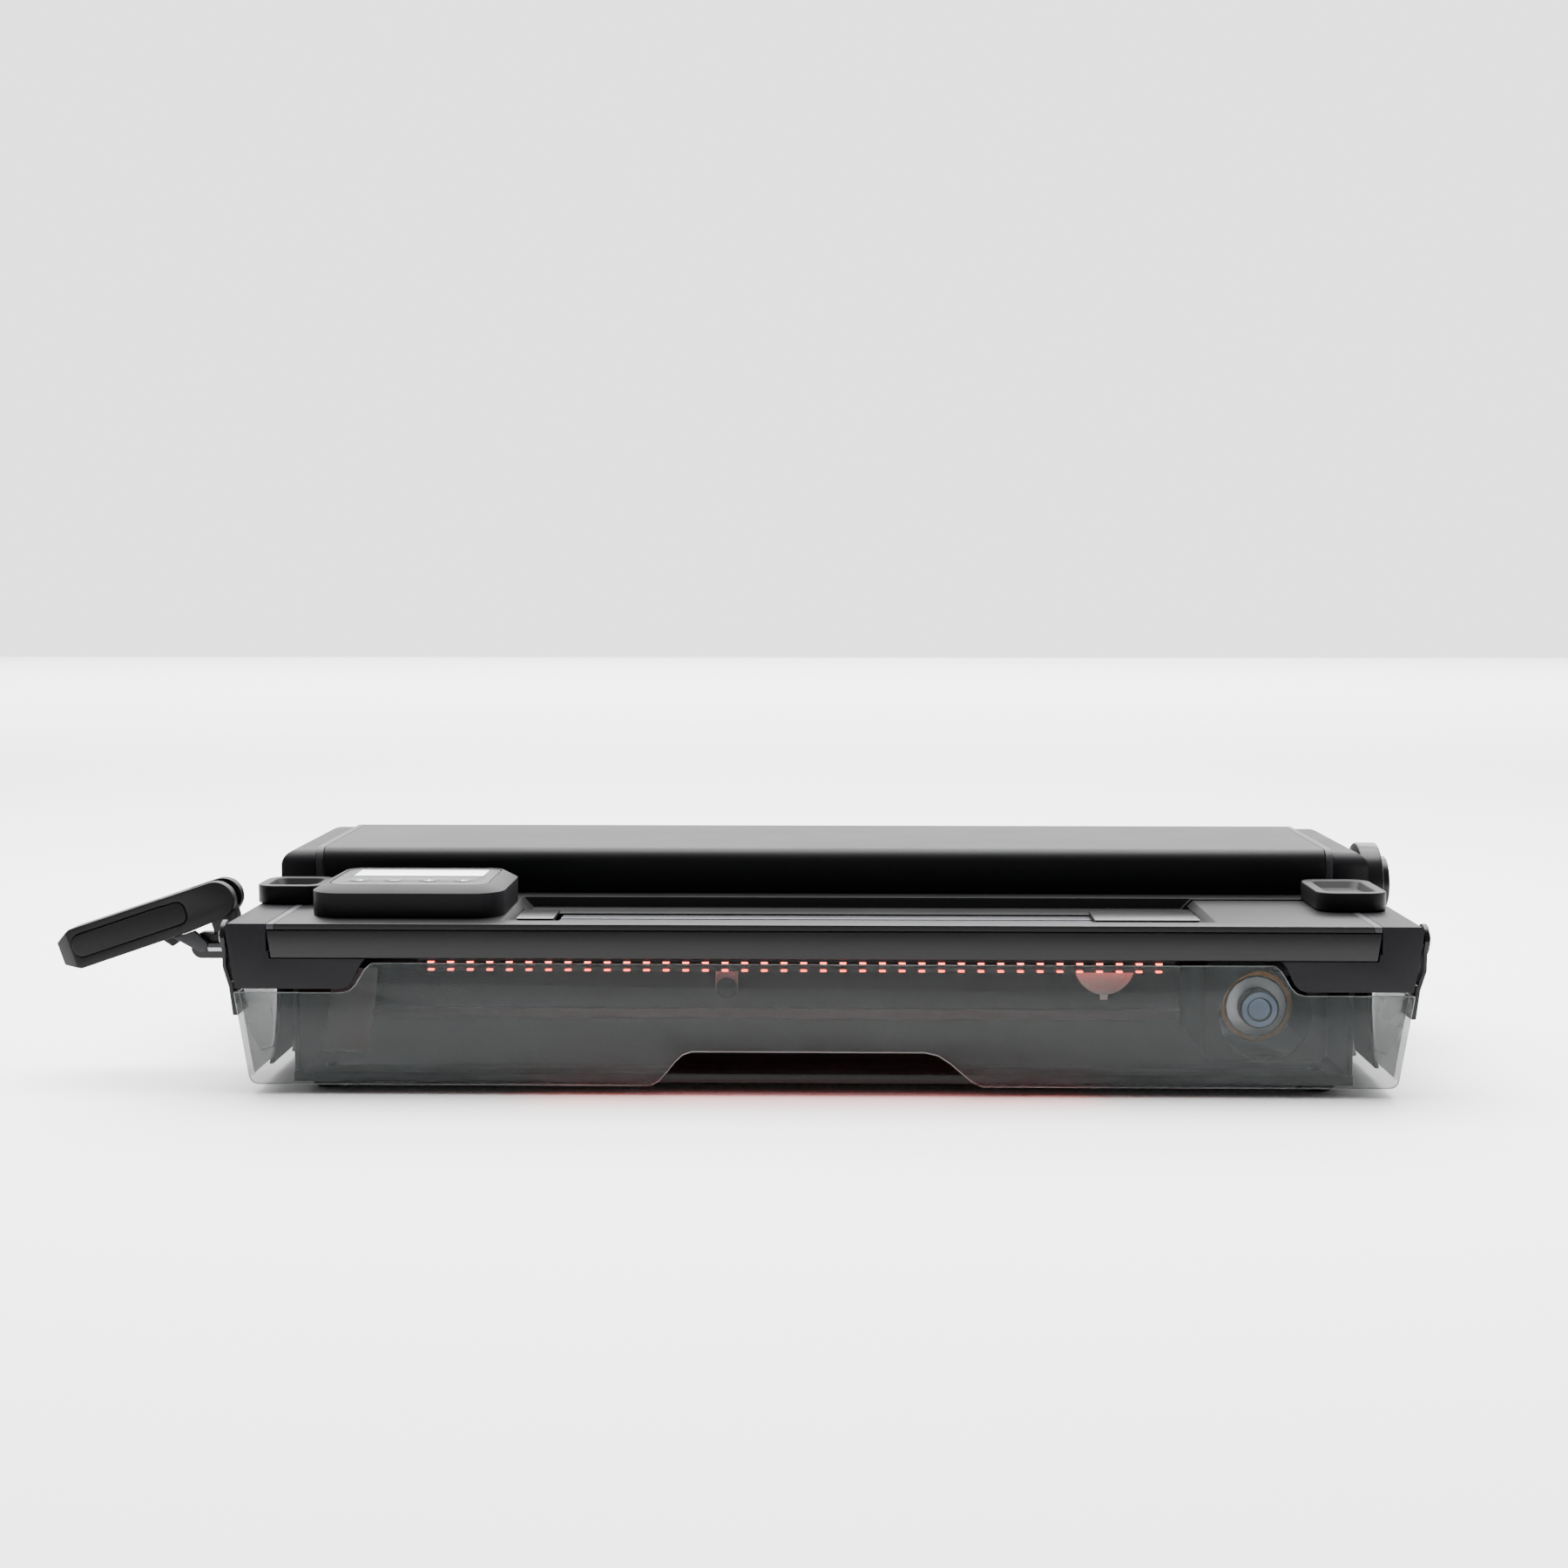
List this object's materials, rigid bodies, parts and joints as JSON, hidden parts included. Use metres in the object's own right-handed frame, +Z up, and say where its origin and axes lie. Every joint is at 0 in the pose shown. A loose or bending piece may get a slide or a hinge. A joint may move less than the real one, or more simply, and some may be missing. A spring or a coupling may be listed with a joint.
{
  "type": "skate sharpener",
  "caption": "Bench-top skate sharpener: clamping blade slot, lever at one end, flip-up smoked door, control pod and a belt-driven grinding carriage under the deck.",
  "frame": {"origin": "on the table, under the middle of the whole machine's box", "axes": "+X along the machine, away from the clamp lever; +Y to the back; +Z up"},
  "size_m": [0.7602, 0.2516, 0.118],
  "materials": {
    "satin_abs": "fine satin moulding texture",
    "charcoal_abs": "fine spark-eroded texture",
    "black_abs": "smooth near-black moulding",
    "trim_grey": "satin grey trim",
    "smoked_clear": "polished smoke-tinted polycarbonate",
    "clear_tab": "polished clear plastic",
    "rubber": "dull black",
    "steel": "turned and ground",
    "blue_steel": "knurled, blued",
    "aluminium": "machined, satin",
    "dark_anodised": "hard-anodised, dark grey, satin",
    "abrasive": "bonded superabrasive grit",
    "led_red": "lit red lenses on a black board",
    "board_green": "soldermask",
    "display": "lit panel under a gloss window",
    "pale_disc": "translucent white moulding"
  },
  "bodies": {
    "chassis": {"base_tray": "black_abs", "front_left_foot": "rubber", "front_right_foot": "rubber", "rear_left_foot": "rubber", "rear_right_foot": "rubber", "right_end_cap": "charcoal_abs", "left_end_cap": "charcoal_abs", "rear_cover": "satin_abs", "right_trim_strip": "trim_grey", "left_trim_strip": "trim_grey", "deck_panel": "satin_abs", "front_fascia": "black_abs", "outlet_port": "black_abs", "right_door_pin": "steel", "left_door_pin": "steel", "lever_bracket": "black_abs", "fixed_jaw": "dark_anodised", "pod_housing": "charcoal_abs", "pod_panel": "black_abs", "display_window": "display", "front_rail": "steel", "rear_rail": "steel", "drive_belt": "rubber", "traverse_motor": "black_abs", "fan_frame": "black_abs", "main_board": "board_green", "power_supply": "aluminium", "power_inlet": "black_abs", "switch_frame": "black_abs", "led_strip": "led_red", "sensor_disc": "pale_disc", "interlock_flag": "clear_tab"},
    "door": {"front_door": "smoked_clear", "right_door_arm": "black_abs", "left_door_arm": "black_abs"},
    "lever": {"lever_handle": "satin_abs", "lever_cam": "trim_grey", "lever_pin": "steel"},
    "clamp_rod": {"clamp_rod": "steel"},
    "jaw": {"moving_jaw": "dark_anodised"},
    "left_cover": {"left_slot_cover": "black_abs", "left_grip": "satin_abs"},
    "right_cover": {"right_slot_cover": "black_abs", "right_grip": "satin_abs"},
    "carriage": {"carriage_housing": "satin_abs", "carriage_beam": "aluminium", "arm_spring": "steel"},
    "arm": {"arm_plate": "aluminium", "grinding_motor": "black_abs"},
    "spindle": {"spindle": "aluminium", "grinding_ring": "abrasive", "arbor_nut": "blue_steel"},
    "drive_pulley": {"drive_pulley": "aluminium"},
    "idler_pulley": {"idler_pulley": "aluminium"},
    "fan": {"fan_rotor": "black_abs"},
    "button_back": {"button_back": "black_abs"},
    "button_less": {"button_less": "black_abs"},
    "button_more": {"button_more": "black_abs"},
    "button_start": {"button_start": "black_abs"},
    "rocker": {"switch_rocker": "black_abs"}
  },
  "joints": [
    {"name": "door_hinge", "type": "hinge", "parent": "chassis", "child": "door", "pos_m": [0.04412, -0.1158, 0.084], "axis": [-1, 0, 0], "range_deg": [0, 100]},
    {"name": "lever_hinge", "type": "hinge", "parent": "chassis", "child": "lever", "pos_m": [-0.28988, -0.0728, 0.098], "axis": [0, 1, 0], "range_deg": [0, 105]},
    {"name": "clamp_rod_slide", "type": "slide", "parent": "chassis", "child": "clamp_rod", "axis": [1, 0, 0], "range_m": [-0.0041, 0]},
    {"name": "jaw_slide", "type": "slide", "parent": "chassis", "child": "jaw", "axis": [0, -1, 0], "range_m": [0, 0.0051]},
    {"name": "left_cover_slide", "type": "slide", "parent": "chassis", "child": "left_cover", "axis": [-1, 0, 0], "range_m": [0, 0.03]},
    {"name": "right_cover_slide", "type": "slide", "parent": "chassis", "child": "right_cover", "axis": [1, 0, 0], "range_m": [-0.08, 0.03]},
    {"name": "carriage_slide", "type": "slide", "parent": "chassis", "child": "carriage", "axis": [1, 0, 0], "range_m": [-0.46, 0]},
    {"name": "arm_hinge", "type": "hinge", "parent": "carriage", "child": "arm", "pos_m": [0.26212, -0.0498, 0.023], "axis": [0, -1, 0], "range_deg": [0, 8]},
    {"name": "spindle_turn", "type": "hinge", "parent": "arm", "child": "spindle", "pos_m": [0.28512, -0.0648, 0.0385], "axis": [0, 1, 0], "continuous": true},
    {"name": "drive_pulley_turn", "type": "hinge", "parent": "chassis", "child": "drive_pulley", "pos_m": [-0.21788, 0.0402, 0.092], "axis": [0, 1, 0], "range_deg": [-5, 2645]},
    {"name": "idler_pulley_turn", "type": "hinge", "parent": "chassis", "child": "idler_pulley", "pos_m": [0.30612, 0.0402, 0.092], "axis": [0, 1, 0], "range_deg": [-5, 2645]},
    {"name": "fan_turn", "type": "hinge", "parent": "chassis", "child": "fan", "pos_m": [0.30912, 0.0742, 0.085], "axis": [1, 0, 0], "continuous": true},
    {"name": "button_back_press", "type": "slide", "parent": "chassis", "child": "button_back", "axis": [0, 0, -1], "range_m": [0, 0.0008], "stiffness_N_per_m": 300, "springref_m": -0.0006},
    {"name": "button_less_press", "type": "slide", "parent": "chassis", "child": "button_less", "axis": [0, 0, -1], "range_m": [0, 0.0008], "stiffness_N_per_m": 300, "springref_m": -0.0006},
    {"name": "button_more_press", "type": "slide", "parent": "chassis", "child": "button_more", "axis": [0, 0, -1], "range_m": [0, 0.0008], "stiffness_N_per_m": 300, "springref_m": -0.0006},
    {"name": "button_start_press", "type": "slide", "parent": "chassis", "child": "button_start", "axis": [0, 0, -1], "range_m": [0, 0.0008], "stiffness_N_per_m": 300, "springref_m": -0.0006},
    {"name": "rocker_tilt", "type": "hinge", "parent": "chassis", "child": "rocker", "pos_m": [-0.16288, 0.1187, 0.028], "axis": [-1, 0, 0], "range_deg": [0, 14]}
  ],
  "couplings": [
    {"joint": "clamp_rod_slide", "follows": "lever_hinge", "m_per_rad": -0.0021827},
    {"joint": "jaw_slide", "follows": "lever_hinge", "m_per_rad": 0.0027284},
    {"joint": "drive_pulley_turn", "follows": "carriage_slide", "rad_per_m": -100},
    {"joint": "idler_pulley_turn", "follows": "carriage_slide", "rad_per_m": -100}
  ]
}
